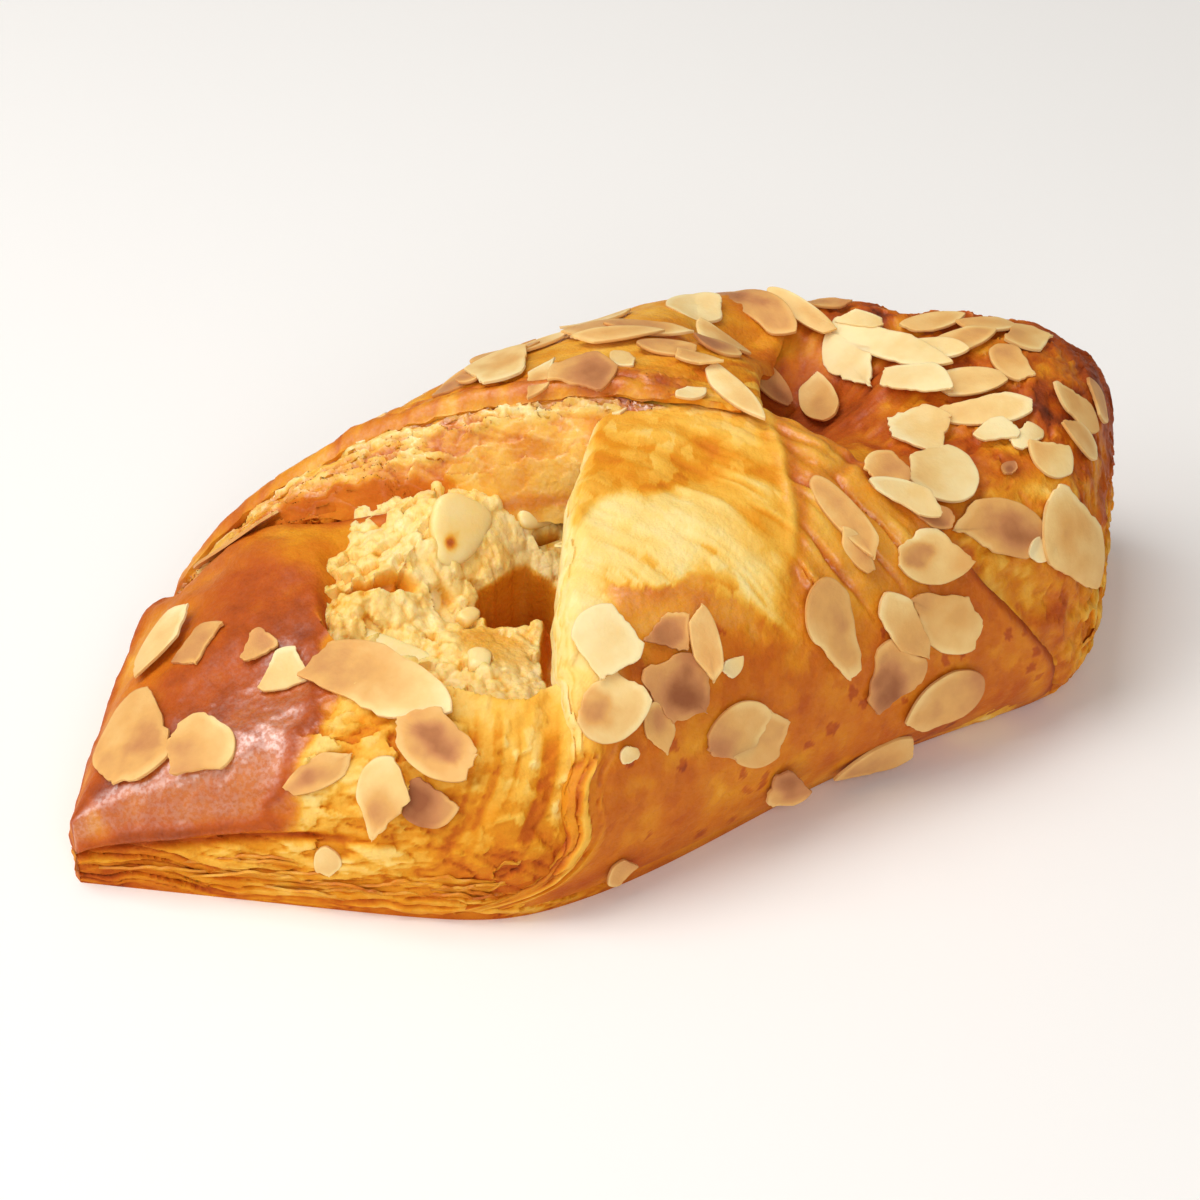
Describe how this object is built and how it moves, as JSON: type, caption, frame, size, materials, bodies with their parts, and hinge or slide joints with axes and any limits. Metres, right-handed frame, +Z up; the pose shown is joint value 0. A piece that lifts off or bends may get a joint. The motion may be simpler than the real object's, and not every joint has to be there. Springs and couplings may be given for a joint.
{
  "type": "almond danish pastry",
  "caption": "Folded danish of laminated dough, its flaps crossed over an almond filling that shows at one open end, topped with flaked almonds.",
  "frame": {"origin": "under the middle of the pastry's box, on the surface that it rests on", "axes": "+X from the flat open corner to the puffed corner, +Y to the back fold, +Z up"},
  "size_m": [0.1514, 0.0758, 0.044],
  "materials": {
    "crust": "baked crust, glossy where egg-washed",
    "filling": "moist crumb"
  },
  "bodies": {
    "root": {"pastry": "crust", "almond_filling": "filling"}
  },
  "joints": []
}
